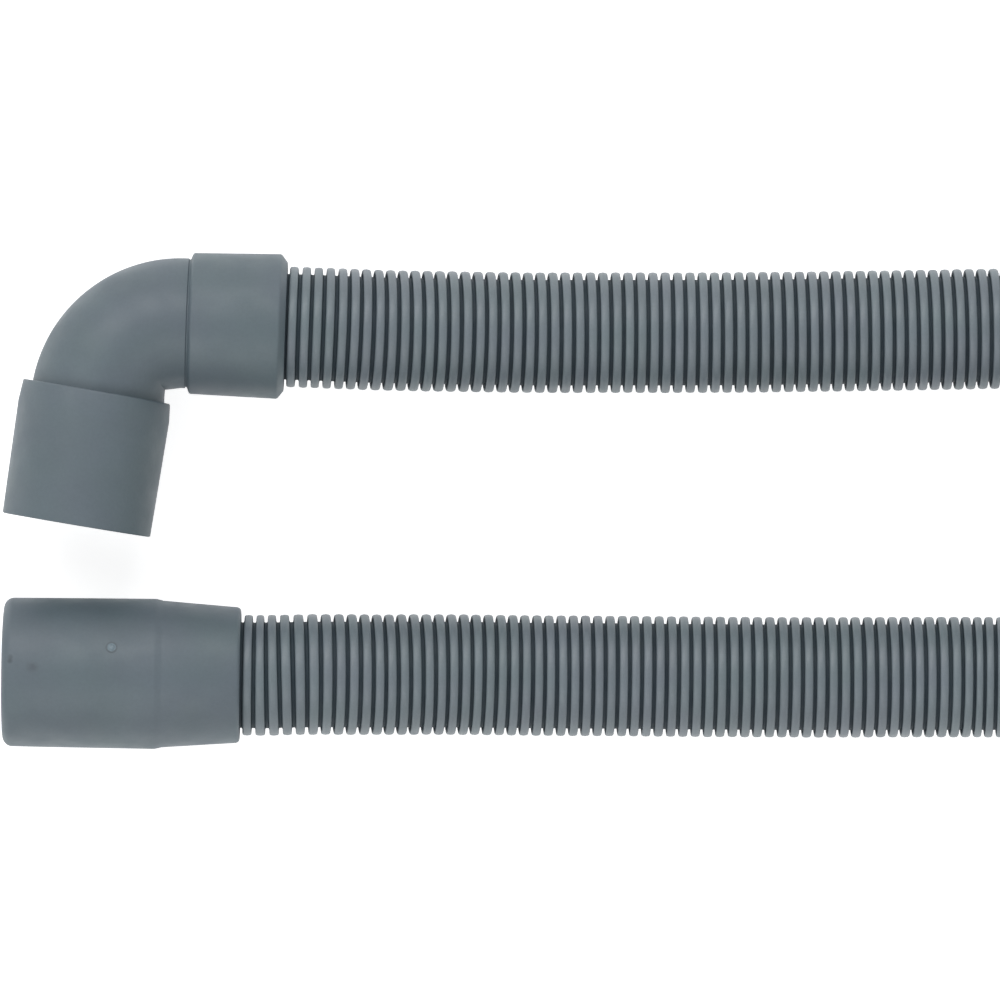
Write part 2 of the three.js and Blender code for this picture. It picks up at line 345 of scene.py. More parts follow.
def hoseMesh(h):
    grooves = groovePlaces(h)
    passes = strapPasses(coil)
    fromFarEnd = [hoseLength - g for g in grooves[::-1]]
    farInside = [(hoseLength - row[0], *row[1:]) for row in insideRings(h, fromFarEnd)]
    rings = insideRings(h, grooves) + hoseRings(h, grooves, passes) + farInside[::-1]
    distance = np.array([ring[0] for ring in rings])
    place = np.column_stack([np.interp(distance, along, line[:, i]) for i in range(3)])
    ahead = np.column_stack([np.interp(distance, along, heading[:, i]) for i in range(3)])
    ahead /= np.linalg.norm(ahead, axis=1)[:, None]
    side = np.cross(ahead, [0.0, 0.0, 1.0])
    side /= np.linalg.norm(side, axis=1)[:, None]
    up = np.cross(side, ahead)
    corners = []
    marks = {"groove": [], "ribTone": []}
    starts = []
    for k, (_, radius, sides, depth, tone) in enumerate(rings):
        angle = 2 * math.pi * np.arange(sides) / sides
        ring = place[k] + radius * (np.outer(np.cos(angle), side[k]) + np.outer(np.sin(angle), up[k]))
        starts.append(len(corners))
        corners.extend(ring.tolist())
        marks["groove"].extend([depth] * sides)
        marks["ribTone"].extend([tone] * sides)
    faces = [list(range(starts[0], starts[0] + rings[0][2]))]
    for k in range(len(rings) - 1):
        faces.extend(facesBetween(starts[k], rings[k][2], starts[k + 1], rings[k + 1][2]))
    faces.append(list(range(starts[-1], starts[-1] + rings[-1][2]))[::-1])
    triangles = sum(len(face) - 2 for face in faces)
    print("hose: ribs", len(grooves) - 1, "rings", len(rings), "triangles", triangles)
    return corners, faces, marks


def facesBetween(a, sidesA, b, sidesB):
    # Faces between two rings, one of which may have half the sides of the other
    if sidesA == sidesB:
        return [(a + i, b + i, b + (i + 1) % sidesB, a + (i + 1) % sidesA) for i in range(sidesA)]
    faces = []
    fine, coarse, count = (a, b, sidesB) if sidesA > sidesB else (b, a, sidesA)
    for i in range(count):
        f0, f1, f2 = fine + 2 * i, fine + 2 * i + 1, fine + (2 * i + 2) % (2 * count)
        c0, c1 = coarse + i, coarse + (i + 1) % count
        if sidesA > sidesB:
            faces.extend([(f0, c0, f1), (f1, c0, c1), (f1, c1, f2)])
        else:
            faces.extend([(c0, f0, f1), (c0, f1, c1), (c1, f1, f2)])
    return faces


def makeHose(h):
    corners, faces, marks = hoseMesh(h)
    mesh = bpy.data.meshes.new("ribbedHose")
    mesh.from_pydata(corners, [], faces)
    mesh.shade_smooth()
    mesh.set_sharp_from_angle(angle=math.radians(h["sharpAngle"]))
    for name, values in marks.items():
        mark = mesh.attributes.new(name, "FLOAT", "POINT")
        mark.data.foreach_set("value", np.array(values, dtype=np.float32))
    made = bpy.data.objects.new("ribbedHose", mesh)
    bpy.context.scene.collection.objects.link(made)
    return made


ribbedHose = makeHose(hose)
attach(ribbedHose, "root")
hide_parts("hose_elbow_run", "hose_coil", "hose_straight_run")
say("hose modelled")


# Rubber ends: each is a loop of rings, grown from its mouth round the outside and back inside

# How near counts as the same place when corners are picked or merged
pickWithin = 0.02 * mm
mergeWithin = 0.002 * mm

# Faces that meet at fewer degrees than this shade smoothly into one another
smoothAngle = 40

# The ring that is selected: its middle, the way it faces and its radius
ring = {}


def startPiece(name, centre, direction, radius, sides):
    # A circle across the piece's axis, open in edit mode with all of its edge selected
    bpy.ops.object.select_all(action="DESELECT")
    turn = Vector((0, 0, 1)).rotation_difference(direction).to_euler()
    bpy.ops.mesh.primitive_circle_add(vertices=sides, radius=radius, location=centre, rotation=turn)
    made = bpy.context.object
    made.name = made.data.name = name
    bpy.ops.object.transform_apply(location=True, rotation=True, scale=True)
    bpy.ops.object.mode_set(mode="EDIT")
    bpy.ops.mesh.select_mode(type="VERT")
    bpy.ops.mesh.select_all(action="SELECT")
    ring.update(centre=Vector(centre), direction=Vector(direction), radius=radius)
    return made


def growTo(centre, radius):
    # The selected ring is extruded, moved to a new middle and sized there
    move = Vector(centre) - ring["centre"]
    bpy.ops.mesh.extrude_edges_move(TRANSFORM_OT_translate={"value": tuple(move)})
    size = radius / ring["radius"]
    bpy.ops.transform.resize(value=(size, size, size), center_override=tuple(centre))
    ring.update(centre=Vector(centre), radius=radius)


def turnTo(direction):
    # The selected ring is turned in the hose's plane, to stand across a new direction
    turn = math.atan2(ring["direction"].cross(direction).z, ring["direction"].dot(direction))
    bpy.ops.transform.rotate(value=-turn, orient_axis="Z", center_override=tuple(ring["centre"]))
    ring.update(direction=direction.copy())


def growAlong(start, direction, rows):
    for distance, radius in rows:
        growTo(start + direction * distance, radius)


def closePiece():
    # The last ring lies on the first, so merging closes the wall
    bpy.ops.mesh.select_all(action="SELECT")
    bpy.ops.mesh.remove_doubles(threshold=mergeWithin)
    bpy.ops.mesh.normals_make_consistent(inside=False)
    bpy.ops.object.mode_set(mode="OBJECT")


def softenEdges(made, start, direction, corners, segments):
    # The corner rings, picked by how far along the axis and how wide they are, are rounded
    bpy.ops.object.mode_set(mode="EDIT")
    for distance, radius, rounding in corners:
        bpy.ops.mesh.select_all(action="DESELECT")
        bpy.ops.object.mode_set(mode="OBJECT")
        for corner in made.data.vertices:
            along = (corner.co - start).dot(direction)
            out = (corner.co - start - direction * along).length
            corner.select = abs(along - distance) < pickWithin and abs(out - radius) < pickWithin
        bpy.ops.object.mode_set(mode="EDIT")
        bpy.ops.mesh.bevel(offset=rounding, offset_type="OFFSET", segments=segments, affect="EDGES")
    bpy.ops.object.mode_set(mode="OBJECT")


def finishSurface(made):
    bpy.ops.object.select_all(action="DESELECT")
    made.select_set(True)
    bpy.context.view_layer.objects.active = made
    bpy.ops.object.shade_smooth_by_angle(angle=math.radians(smoothAngle))


def settle(made):
    # The rubber is pressed flat where it rests on the floor
    for corner in made.data.vertices:
        corner.co.z = max(corner.co.z, 0)


elbow = {
    "sides": 96,
    "bendSteps": 36,
    "bendRadius": 17.3 * mm,
    "bendOuter": 13.2 * mm,
    "passage": 9.25 * mm,
    "mouthTilt": 8.7,
    "rimTilt": 9.5,
    "shoulderTilt": 9.9,
    "bendEndTilt": 9.0,
    "mouthRim": 15.18 * mm,
    "mouthMiddle": 15.48 * mm,
    "middleAlong": 3.2 * mm,
    "mouthShoulder": 15.10 * mm,
    "shoulderRounding": 0.6 * mm,
    "shoulderUp": 1.05 * mm,
    "mouthBore": 11.2 * mm,
    "mouthLength": 26.6 * mm,
    "mouthDepth": 22 * mm,
    "cornerCut": 0.85,
    "cornerReach": 6.0 * mm,
    "cornerSwell": 0.8 * mm,
    "skinWithin": 0.05 * mm,
    "hubRadius": 0.1 * mm,
    "neckLength": 0.9 * mm,
    "neckCrease": 12.95 * mm,
    "neckSlope": 0.75 * mm,
    "neckFall": 0.15 * mm,
    "creaseWidth": 0.25 * mm,
    "creaseRise": 0.1 * mm,
    "cuffAtNeck": 14.33 * mm,
    "cuffAtEnd": 14.72 * mm,
    "cuffLip": 13.05 * mm,
    "socket": 12.55 * mm,
    "hoseSideLength": 20.5 * mm,
    "endBevel": 1.0 * mm,
    "endPast": 0.3 * mm,
    "rimRounding": 0.35 * mm,
    "boreRounding": 0.4 * mm,
    "bendEndRounding": 0.2 * mm,
    "cuffRounding": 0.35 * mm,
    "cuffEndRounding": 0.3 * mm,
    "lipRounding": 0.2 * mm,
    "segments": 4,
    "shoulderSegments": 5,
}


def pointingDown(tilt):
    # A direction down the picture, leaning left by so many degrees
    return Vector((-math.sin(math.radians(tilt)), -math.cos(math.radians(tilt)), 0))


def sharpenInnerCorner(made, e, bendCentre, bendEndAxis, sweep):
    # The inside of the bend is moulded nearly square: its skin is drawn towards the corner where
    # the two straight sides would meet
    start = Vector((bendEndAxis.y, -bendEndAxis.x, 0))
    inside = e["bendRadius"] - e["bendOuter"]
    for corner in made.data.vertices:
        away = corner.co - bendCentre
        flat = Vector((away.x, away.y, 0))
        fromAxis = math.hypot(flat.length - e["bendRadius"], away.z)
        turned = start.angle(flat) if flat.length > e["hubRadius"] else 0
        offSkin = abs(fromAxis - e["bendOuter"]) > e["skinWithin"]
        if offSkin or turned > sweep or start.cross(flat).z > 0:
            continue
        share = max(0, 1 - (flat.length - inside) / e["cornerReach"]) ** 2
        cut = inside * (1 / math.cos(min(turned, sweep - turned)) - 1)
        swell = e["cornerSwell"] * (1 - turned / sweep)
        corner.co += flat.normalized() * (cut * e["cornerCut"] - swell) * share


def makeElbow(e):
    hoseSideStart = elbowExit - elbowAxis * e["hoseSideLength"]
    inward = Vector((elbowAxis.y, -elbowAxis.x, 0))
    bendCentre = hoseSideStart + inward * e["bendRadius"]
    mouthAxis, rimAxis, shoulderAxis, bendEndAxis = [
        pointingDown(e[name]) for name in ("mouthTilt", "rimTilt", "shoulderTilt", "bendEndTilt")
    ]
    mouthStart = bendCentre + Vector((mouthAxis.y, -mouthAxis.x, 0)) * e["bendRadius"]
    bendEnd = bendCentre + Vector((bendEndAxis.y, -bendEndAxis.x, 0)) * e["bendRadius"]
    shoulder = mouthStart - mouthAxis * e["shoulderUp"]
    rim = mouthStart + mouthAxis * e["mouthLength"]
    mouthBottom = rim - mouthAxis * e["mouthDepth"]
    hoseSideEnd = e["hoseSideLength"] + e["endPast"]
    sweep = (-elbowAxis).angle(bendEndAxis)
    made = startPiece("elbowEnd", rim, rimAxis, e["mouthRim"], e["sides"])
    growTo(mouthStart + mouthAxis * e["middleAlong"], e["mouthMiddle"])
    turnTo(mouthAxis)
    growTo(shoulder, e["mouthShoulder"])
    turnTo(shoulderAxis)
    growTo(bendEnd, e["bendOuter"])
    turnTo(bendEndAxis)
    bpy.ops.mesh.spin(steps=e["bendSteps"], angle=sweep, center=bendCentre, axis=(0, 0, 1))
    ring.update(centre=hoseSideStart.copy())
    growAlong(hoseSideStart, elbowAxis, [
        (e["neckLength"] - e["neckFall"], e["bendOuter"]),
        (e["neckLength"], e["neckCrease"]),
        (e["neckLength"] + e["creaseWidth"], e["neckCrease"] + e["creaseRise"]),
        (e["neckLength"] + e["neckSlope"], e["cuffAtNeck"]),
        (e["hoseSideLength"] - e["endBevel"], e["cuffAtEnd"]),
        (hoseSideEnd, e["cuffLip"]),
        (hoseSideEnd, e["socket"]),
        (e["hoseSideLength"] - socketDepth, e["socket"]),
        (e["hoseSideLength"] - socketDepth, e["passage"]),
        (0, e["passage"]),
    ])
    bpy.ops.mesh.spin(steps=e["bendSteps"], angle=-sweep, center=bendCentre, axis=(0, 0, 1))
    ring.update(centre=bendEnd.copy())
    growTo(mouthBottom, e["passage"])
    turnTo(mouthAxis)
    growTo(mouthBottom, e["mouthBore"])
    growTo(rim, e["mouthBore"])
    turnTo(rimAxis)
    growTo(rim, e["mouthRim"])
    closePiece()
    sharpenInnerCorner(made, e, bendCentre, bendEndAxis, sweep)
    softenEdges(made, rim, rimAxis, [
        (0, e["mouthRim"], e["rimRounding"]), (0, e["mouthBore"], e["boreRounding"]),
    ], e["segments"])
    softenEdges(made, shoulder, shoulderAxis, [
        (0, e["mouthShoulder"], e["shoulderRounding"]),
    ], e["shoulderSegments"])
    softenEdges(made, bendEnd, bendEndAxis, [
        (0, e["bendOuter"], e["bendEndRounding"]),
    ], e["segments"])
    softenEdges(made, hoseSideStart, elbowAxis, [
        (e["neckLength"] + e["neckSlope"], e["cuffAtNeck"], e["cuffRounding"]),
        (e["hoseSideLength"] - e["endBevel"], e["cuffAtEnd"], e["cuffEndRounding"]),
        (hoseSideEnd, e["cuffLip"], e["lipRounding"]),
    ], e["segments"])
    settle(made)
    finishSurface(made)
    return made


elbowEnd = makeElbow(elbow)
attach(elbowEnd, "root")
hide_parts("elbow_end")
say("elbow modelled")


straight = {
    "sides": 96,
    "length": 48.1 * mm,
    "mouthOuter": 15.10 * mm,
    "mouthRounding": 2.0 * mm,
    "boreRounding": 0.5 * mm,
    "stepRounding": 0.3 * mm,
    "endRounding": 0.8 * mm,
    "lipRounding": 0.2 * mm,
    "mouthSegments": 10,
    "segments": 4,
    "flareAlong": 10 * mm,
    "flareRise": 0.06 * mm,
    "bodyOuter": 15.26 * mm,
    "bodyLength": 30.9 * mm,
    "stepLength": 1.4 * mm,
    "stepDrop": 0.35 * mm,
    "endOuter": 13.75 * mm,
    "socket": 12.55 * mm,
    "passage": 9.25 * mm,
    "mouthBore": 11.2 * mm,
    "mouthDepth": 28 * mm,
    "gateAlong": 22.25 * mm,
    "gateAngle": 21.2,
    "gateRadius": 1.05 * mm,
    "gateSides": 32,
    "gateBase": 0.02 * mm,
    "gateSunk": 0.3 * mm,
    "gateRows": [
        (0.03 * mm, 1), (0.05 * mm, 0.93), (0.04 * mm, 0.8), (-0.02 * mm, 0.72),
        (-0.01 * mm, 0.62), (0.10 * mm, 0.52), (0.16 * mm, 0.36), (0.18 * mm, 0.15),
    ],
}


def makeStraight(t):
    mouth = straightExit - straightAxis * t["length"]
    made = startPiece("straightEnd", mouth, straightAxis, t["mouthOuter"], t["sides"])
    growAlong(mouth, straightAxis, [
        (t["flareAlong"], t["mouthOuter"] + t["flareRise"]),
        (t["bodyLength"], t["bodyOuter"]),
        (t["bodyLength"] + t["stepLength"], t["bodyOuter"] - t["stepDrop"]),
        (t["length"], t["endOuter"]),
        (t["length"], t["socket"]),
        (t["length"] - socketDepth, t["socket"]),
        (t["length"] - socketDepth, t["passage"]),
        (t["mouthDepth"], t["passage"]),
        (t["mouthDepth"], t["mouthBore"]),
        (0, t["mouthBore"]),
        (0, t["mouthOuter"]),
    ])
    closePiece()
    softenEdges(made, mouth, straightAxis, [
        (0, t["mouthOuter"], t["mouthRounding"]),
    ], t["mouthSegments"])
    softenEdges(made, mouth, straightAxis, [
        (0, t["mouthBore"], t["boreRounding"]),
        (t["bodyLength"], t["bodyOuter"], t["stepRounding"]),
        (t["bodyLength"] + t["stepLength"], t["bodyOuter"] - t["stepDrop"], t["stepRounding"]),
        (t["length"], t["endOuter"], t["endRounding"]),
        (t["length"], t["socket"], t["lipRounding"]),
    ], t["segments"])
    addGateMark(made, mouth, t)
    settle(made)
    finishSurface(made)
    return made


def gateOn(mouth, t):
    angle = math.radians(t["gateAngle"])
    across = Vector((-straightAxis.y, straightAxis.x, 0))
    out = Vector((0, 0, 1)) * math.cos(angle) + across * math.sin(angle)
    return mouth + straightAxis * t["gateAlong"] + out * (t["bodyOuter"] - t["gateBase"]), out


def addGateMark(made, mouth, t):
    # The little round vestige where the rubber was fed into the mould, on the upper side
    surface, out = gateOn(mouth, t)
    size = t["gateRadius"]
    mark = startPiece("gateMark", surface - out * t["gateSunk"], out, size, t["gateSides"])
    growAlong(surface, out, [(height, size * share) for height, share in t["gateRows"]])
    bpy.ops.mesh.edge_face_add()
    bpy.ops.object.mode_set(mode="OBJECT")
    bpy.ops.object.select_all(action="DESELECT")
    mark.select_set(True)
    made.select_set(True)
    bpy.context.view_layer.objects.active = made
    bpy.ops.object.join()


straightEnd = makeStraight(straight)
gatePlace = gateOn(straightExit - straightAxis * straight["length"], straight)[0]
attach(straightEnd, "root")
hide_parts("straight_end")
say("straight end modelled")


# Strap round the coil: a band pulled into the ribs, a head on its inner side and the cut tail

strap = {
    "width": 4.8 * mm,
    "thickness": 1.15 * mm,
    "outer": 12.25 * mm,
    "rise": 12.4 * mm,
    "middleHeight": 24.65 * mm,
    "sides": 64,
    "head": (4.6 * mm, 6.6 * mm, 6.0 * mm),
    "headGap": 0.3 * mm,
    "tail": (1.15 * mm, 4.6 * mm, 12.5 * mm),
    "partFrom": 0.01 * mm,
    "edge": 0.25 * mm,
    "edgeSegments": 2,
    "edgeAngle": 50,
    "blockSegments": 3,
    "headEdge": 0.5 * mm,
    "neckEdge": 0.2 * mm,
    "neckOverlap": 0.4 * mm,
    "neckShorter": 1 * mm,
}


def addBlock(name, centre, size, rounding):
    bpy.ops.object.select_all(action="DESELECT")
    bpy.ops.mesh.primitive_cube_add(size=1, location=centre)
    block = bpy.context.object
    block.name = block.data.name = name
    block.scale = size
    bpy.ops.object.transform_apply(location=True, rotation=True, scale=True)
    bpy.ops.object.mode_set(mode="EDIT")
    bpy.ops.mesh.select_all(action="SELECT")
    bpy.ops.mesh.bevel(offset=rounding, segments=strap["blockSegments"], affect="EDGES")
    bpy.ops.object.mode_set(mode="OBJECT")
    return block


def makeStrap(t):
    middleX = (coil["centre"][0] + coil["radius"]) * mm
    middle = Vector((middleX, coil["centre"][1] * mm, t["middleHeight"]))
    # The band starts as a ring round one turn, halved and parted to go round both
    side = middle - Vector((0, t["width"] / 2, 0))
    band = startPiece("coilStrap", side, Vector((0, 1, 0)), t["outer"], t["sides"])
    bpy.ops.mesh.select_all(action="DESELECT")
    bpy.ops.object.mode_set(mode="OBJECT")
    for corner in band.data.vertices:
        corner.select = corner.co.z > middle.z + t["partFrom"]
    bpy.ops.object.mode_set(mode="EDIT")
    bpy.ops.transform.translate(value=(0, 0, t["rise"]))
    bpy.ops.mesh.select_all(action="INVERT")
    bpy.ops.transform.translate(value=(0, 0, -t["rise"]))
    bpy.ops.mesh.select_all(action="SELECT")
    bpy.ops.mesh.extrude_edges_move(TRANSFORM_OT_translate={"value": (0, t["width"], 0)})
    bpy.ops.mesh.select_all(action="SELECT")
    bpy.ops.mesh.normals_make_consistent(inside=False)
    bpy.ops.object.mode_set(mode="OBJECT")
    wall = band.modifiers.new("wall", "SOLIDIFY")
    wall.thickness = t["thickness"]
    wall.offset = -1
    wall.use_even_offset = True
    edge = band.modifiers.new("edge", "BEVEL")
    edge.width = t["edge"]
    edge.segments = t["edgeSegments"]
    edge.limit_method = "ANGLE"
    edge.angle_limit = math.radians(t["edgeAngle"])
    bpy.ops.object.modifier_apply(modifier="wall")
    bpy.ops.object.modifier_apply(modifier="edge")
    headDepth, _, headHeight = t["head"]
    headMiddle = middle - Vector((t["outer"] + t["headGap"] + headDepth / 2, 0, 0))
    head = addBlock("strapHead", headMiddle, t["head"], t["headEdge"])
    neckDepth = t["headGap"] + t["thickness"]
    neckMiddle = middle - Vector((t["outer"] + t["headGap"] - neckDepth / 2, 0, 0))
    neckSize = (neckDepth + t["neckOverlap"], t["width"], headHeight - t["neckShorter"])
    neck = addBlock("strapNeck", neckMiddle, neckSize, t["neckEdge"])
    tailMiddle = headMiddle + Vector((0, 0, t["tail"][2] / 2))
    tail = addBlock("strapTail", tailMiddle, t["tail"], t["edge"])
    bpy.ops.object.select_all(action="DESELECT")
    for one in (head, neck, tail, band):
        one.select_set(True)
    bpy.context.view_layer.objects.active = band
    bpy.ops.object.join()
    finishSurface(band)
    return band


coilStrap = makeStrap(strap)
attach(coilStrap, "root")
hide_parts("coil_strap")
say("strap modelled")


# Materials


def newMaterial(name, colour, roughness):
    material = bpy.data.materials.new(name)
    material.use_nodes = True
    shader = material.node_tree.nodes["Principled BSDF"]
    shader.inputs["Base Color"].default_value = (*colour, 1)
    shader.inputs["Roughness"].default_value = roughness
    return material, material.node_tree, shader


def addNode(tree, kind, **values):
    node = tree.nodes.new(kind)
    for name, value in values.items():
        if name in node.inputs:
            node.inputs[name].default_value = value
        else:
            setattr(node, name, value)
    return node


def frameCoordinates(tree):
    return addNode(tree, "ShaderNodeTexCoord").outputs["Object"]


def cloudy(tree, coordinates, scale, detail, roughness=0.5):
    noise = addNode(tree, "ShaderNodeTexNoise", Scale=scale, Detail=detail, Roughness=roughness)
    tree.links.new(coordinates, noise.inputs["Vector"])
    return noise.outputs["Fac"]


def spread(tree, value, fromLow, fromHigh, low, high):
    level = addNode(tree, "ShaderNodeMapRange")
    level.inputs["From Min"].default_value = fromLow
    level.inputs["From Max"].default_value = fromHigh
    level.inputs["To Min"].default_value = low
    level.inputs["To Max"].default_value = high
    tree.links.new(value, level.inputs["Value"])
    return level.outputs[0]


def around(tree, value, strength):
    # Cloud values, mostly 0.3 to 0.7, spread about 1
    return spread(tree, value, 0.3, 0.7, 1 - strength, 1 + strength)


def drifting(tree, here, r):
    # The base colour, wandering slowly between its greener and its bluer tone
    drift = spread(tree, cloudy(tree, here, r["driftScale"], 2), 0.35, 0.65, 0, 1)
    return blend(tree, drift, r["greener"], r["bluer"])


def wornGloss(tree, here, r):
    # Roughness that changes in clouds
    clouds = cloudy(tree, here, r["glossScale"], 4)
    return spread(tree, clouds, 0.3, 0.7, r["roughnessLow"], r["roughnessHigh"])


def combine(tree, operation, first, second):
    result = addNode(tree, "ShaderNodeMath", operation=operation)
    for socket, value in zip(result.inputs, (first, second)):
        if isinstance(value, (int, float)):
            socket.default_value = value
        else:
            tree.links.new(value, socket)
    return result.outputs[0]


def blend(tree, amount, first, second, kind="MIX"):
    mix = addNode(tree, "ShaderNodeMix", data_type="RGBA", blend_type=kind)
    for name, value in (("Factor", amount), ("A", first), ("B", second)):
        socket = [one for one in mix.inputs if one.name == name and one.enabled][0]
        if isinstance(value, tuple):
            socket.default_value = (*value, 1)
        elif isinstance(value, (int, float)):
            socket.default_value = value
        else:
            tree.links.new(value, socket)
    return [one for one in mix.outputs if one.enabled][0]


def shaded(tree, colour, level):
    # The colour times a number from the nodes
    scaled = addNode(tree, "ShaderNodeVectorMath", operation="SCALE")
    tree.links.new(colour, scaled.inputs[0])
    tree.links.new(level, scaled.inputs["Scale"])
    return scaled.outputs[0]


def spotNear(tree, coordinates, place, reach, edge):
    # 1 within reach of a place, fading to 0 over the edge
    distance = addNode(tree, "ShaderNodeVectorMath", operation="DISTANCE")
    distance.inputs[1].default_value = place
    tree.links.new(coordinates, distance.inputs[0])
    return spread(tree, distance.outputs["Value"], reach, reach + edge, 1, 0), distance.outputs["Value"]


def bumped(tree, shader, height, strength, distance):
    bump = addNode(tree, "ShaderNodeBump")
    bump.inputs["Strength"].default_value = strength
    bump.inputs["Distance"].default_value = distance
    tree.links.new(height, bump.inputs["Height"])
    tree.links.new(bump.outputs[0], shader.inputs["Normal"])


rubber = {
    "colour": (0.111, 0.147, 0.170),
    "greener": (0.108, 0.149, 0.168),
    "bluer": (0.112, 0.145, 0.172),
    "driftScale": 60,
    "gloss": 1.6,
    "plainRoughness": 0.6,
    "cloudScale": 85,
    "cloudStrength": 0.05,
    "grainScale": 1500,
    "grainStrength": 0.03,
    "glossScale": 240,
    "roughnessLow": 0.47,
    "roughnessHigh": 0.60,
    "rippleScale": 320,
    "rippleStrength": 3.0,
    "bumpStrength": 0.5,
    "bumpDepth": 0.03 * mm,
    "patchScale": 1100,
    "smudges": [
        ((-26.4, -31.4, 29.9), 0.2, 0.5, 0.42),
        ((-26.4, -32.2, 29.9), 0.2, 0.5, 0.42),
        ((-22.2, -33.4, 30.2), 0.3, 1.0, 0.22),
        ((-21.4, -33.5, 30.2), 0.3, 0.9, 0.18),
    ],
    "gateGlow": 1.7,
    # Painted shade: a darker ring round the gate mark, standing for the shade of a sunk ring the mesh
    # doesn't have
    "ringWidth": 0.3 * mm,
    "ringShade": 0.30,
}


def makeRubberMaterial(r, gatePlace):
    material, tree, shader = newMaterial("greyRubber", r["colour"], r["plainRoughness"])
    shader.inputs["IOR"].default_value = r["gloss"]
    here = frameCoordinates(tree)
    colour = drifting(tree, here, r)
    clouds = around(tree, cloudy(tree, here, r["cloudScale"], 4), r["cloudStrength"])
    grain = cloudy(tree, here, r["grainScale"], 3)
    specks = around(tree, grain, r["grainStrength"])
    level = combine(tree, "MULTIPLY", clouds, specks)
    patchy = spread(tree, cloudy(tree, here, r["patchScale"], 2), 0.3, 0.6, 0.6, 1)
    for place, reach, edge, depth in r["smudges"]:
        near, _ = spotNear(tree, here, Vector(place) * mm, reach * mm, edge * mm)
        dirt = combine(tree, "MULTIPLY", near, patchy)
        level = combine(tree, "MULTIPLY", level, spread(tree, dirt, 0, 1, 1, 1 - depth))
    # Painted shade: a ring round the gate mark is darkened; the mark itself is made paler
    gateRadius = straight["gateRadius"]
    near, distance = spotNear(tree, here, gatePlace, gateRadius, r["ringWidth"])
    outside = spread(tree, distance, gateRadius * 0.8, gateRadius, 0, 1)
    shadedRing = combine(tree, "MULTIPLY", near, outside)
    level = combine(tree, "MULTIPLY", level, spread(tree, shadedRing, 0, 1, 1, 1 - r["ringShade"]))
    pale = spread(tree, distance, gateRadius * 0.7, gateRadius * 0.9, r["gateGlow"], 1)
    level = combine(tree, "MULTIPLY", level, pale)
    tree.links.new(shaded(tree, colour, level), shader.inputs["Base Color"])
    tree.links.new(wornGloss(tree, here, r), shader.inputs["Roughness"])
    ripples = combine(tree, "MULTIPLY", cloudy(tree, here, r["rippleScale"], 3), r["rippleStrength"])
    bumped(tree, shader, combine(tree, "ADD", grain, ripples), r["bumpStrength"], r["bumpDepth"])
    return material


ribbed = {
    "colour": (0.154, 0.191, 0.216),
    "greener": (0.150, 0.193, 0.213),
    "bluer": (0.156, 0.189, 0.219),
    "driftScale": 75,
    "gloss": 1.6,
    "plainRoughness": 0.5,
    # Painted shade: deep in each groove the plastic's colour is multiplied by this
    "groove": (0.16, 0.25, 0.30),
    "grooveShadeFrom": 0.10,
    "grooveShadeTo": 0.55,
    "toneStrength": 0.035,
    "cloudScale": 110,
    "cloudStrength": 0.05,
    "streakScale": 1800,
    "streakStrength": 0.035,
    "glossScale": 260,
    "roughnessLow": 0.38,
    "roughnessHigh": 0.50,
    "grooveDull": 0.25,
    "bumpStrength": 0.4,
    "bumpDepth": 0.02 * mm,
}


def makeRibbedMaterial(r):
    material, tree, shader = newMaterial("greyRibbedPlastic", r["colour"], r["plainRoughness"])
    shader.inputs["IOR"].default_value = r["gloss"]
    here = frameCoordinates(tree)
    depth = addNode(tree, "ShaderNodeAttribute", attribute_name="groove").outputs["Fac"]
    ribTone = addNode(tree, "ShaderNodeAttribute", attribute_name="ribTone").outputs["Fac"]
    colour = drifting(tree, here, r)
    clouds = around(tree, cloudy(tree, here, r["cloudScale"], 4), r["cloudStrength"])
    streaks = cloudy(tree, here, r["streakScale"], 2)
    scuffs = around(tree, streaks, r["streakStrength"])
    tones = spread(tree, ribTone, 0, 1, 1 - r["toneStrength"], 1 + r["toneStrength"])
    level = combine(tree, "MULTIPLY", combine(tree, "MULTIPLY", clouds, scuffs), tones)
    colour = shaded(tree, colour, level)
    # Painted shade: the colour darkens with depth in the grooves, on top of the shade the light itself
    # gives there
    grooveShadeMask = spread(tree, depth, r["grooveShadeFrom"], r["grooveShadeTo"], 0, 1)
    colour = blend(tree, grooveShadeMask, colour, blend(tree, 1.0, colour, r["groove"], "MULTIPLY"))
    tree.links.new(colour, shader.inputs["Base Color"])
    worn = wornGloss(tree, here, r)
    dull = combine(tree, "MULTIPLY", grooveShadeMask, r["grooveDull"])
    tree.links.new(combine(tree, "ADD", worn, dull), shader.inputs["Roughness"])
    bumped(tree, shader, streaks, r["bumpStrength"], r["bumpDepth"])
    return material


nylon = {
    "colour": (0.018, 0.019, 0.021),
    "worn": (0.040, 0.042, 0.046),
    "plainRoughness": 0.4,
    "scuffScale": 300,
    "roughnessLow": 0.34,
    "roughnessHigh": 0.55,
    "grainScale": 900,
    "bumpStrength": 0.4,
    "bumpDepth": 0.03 * mm,
}


def makeNylonMaterial(n):
    material, tree, shader = newMaterial("blackNylon", n["colour"], n["plainRoughness"])
    here = frameCoordinates(tree)
    grain = cloudy(tree, here, n["grainScale"], 4)
    colour = blend(tree, spread(tree, grain, 0.45, 0.7, 0, 1), n["colour"], n["worn"])
    tree.links.new(colour, shader.inputs["Base Color"])
    clouds = cloudy(tree, here, n["scuffScale"], 5)
    scuffs = spread(tree, clouds, 0.35, 0.65, n["roughnessLow"], n["roughnessHigh"])
    tree.links.new(scuffs, shader.inputs["Roughness"])
    bumped(tree, shader, grain, n["bumpStrength"], n["bumpDepth"])
    return material


def dress(piece, material):
    piece.data.materials.clear()
    piece.data.materials.append(material)


rubberMaterial = makeRubberMaterial(rubber, gatePlace)
dress(ribbedHose, makeRibbedMaterial(ribbed))
dress(elbowEnd, rubberMaterial)
dress(straightEnd, rubberMaterial)
dress(coilStrap, makeNylonMaterial(nylon))
say("materials made")


# Floor and light

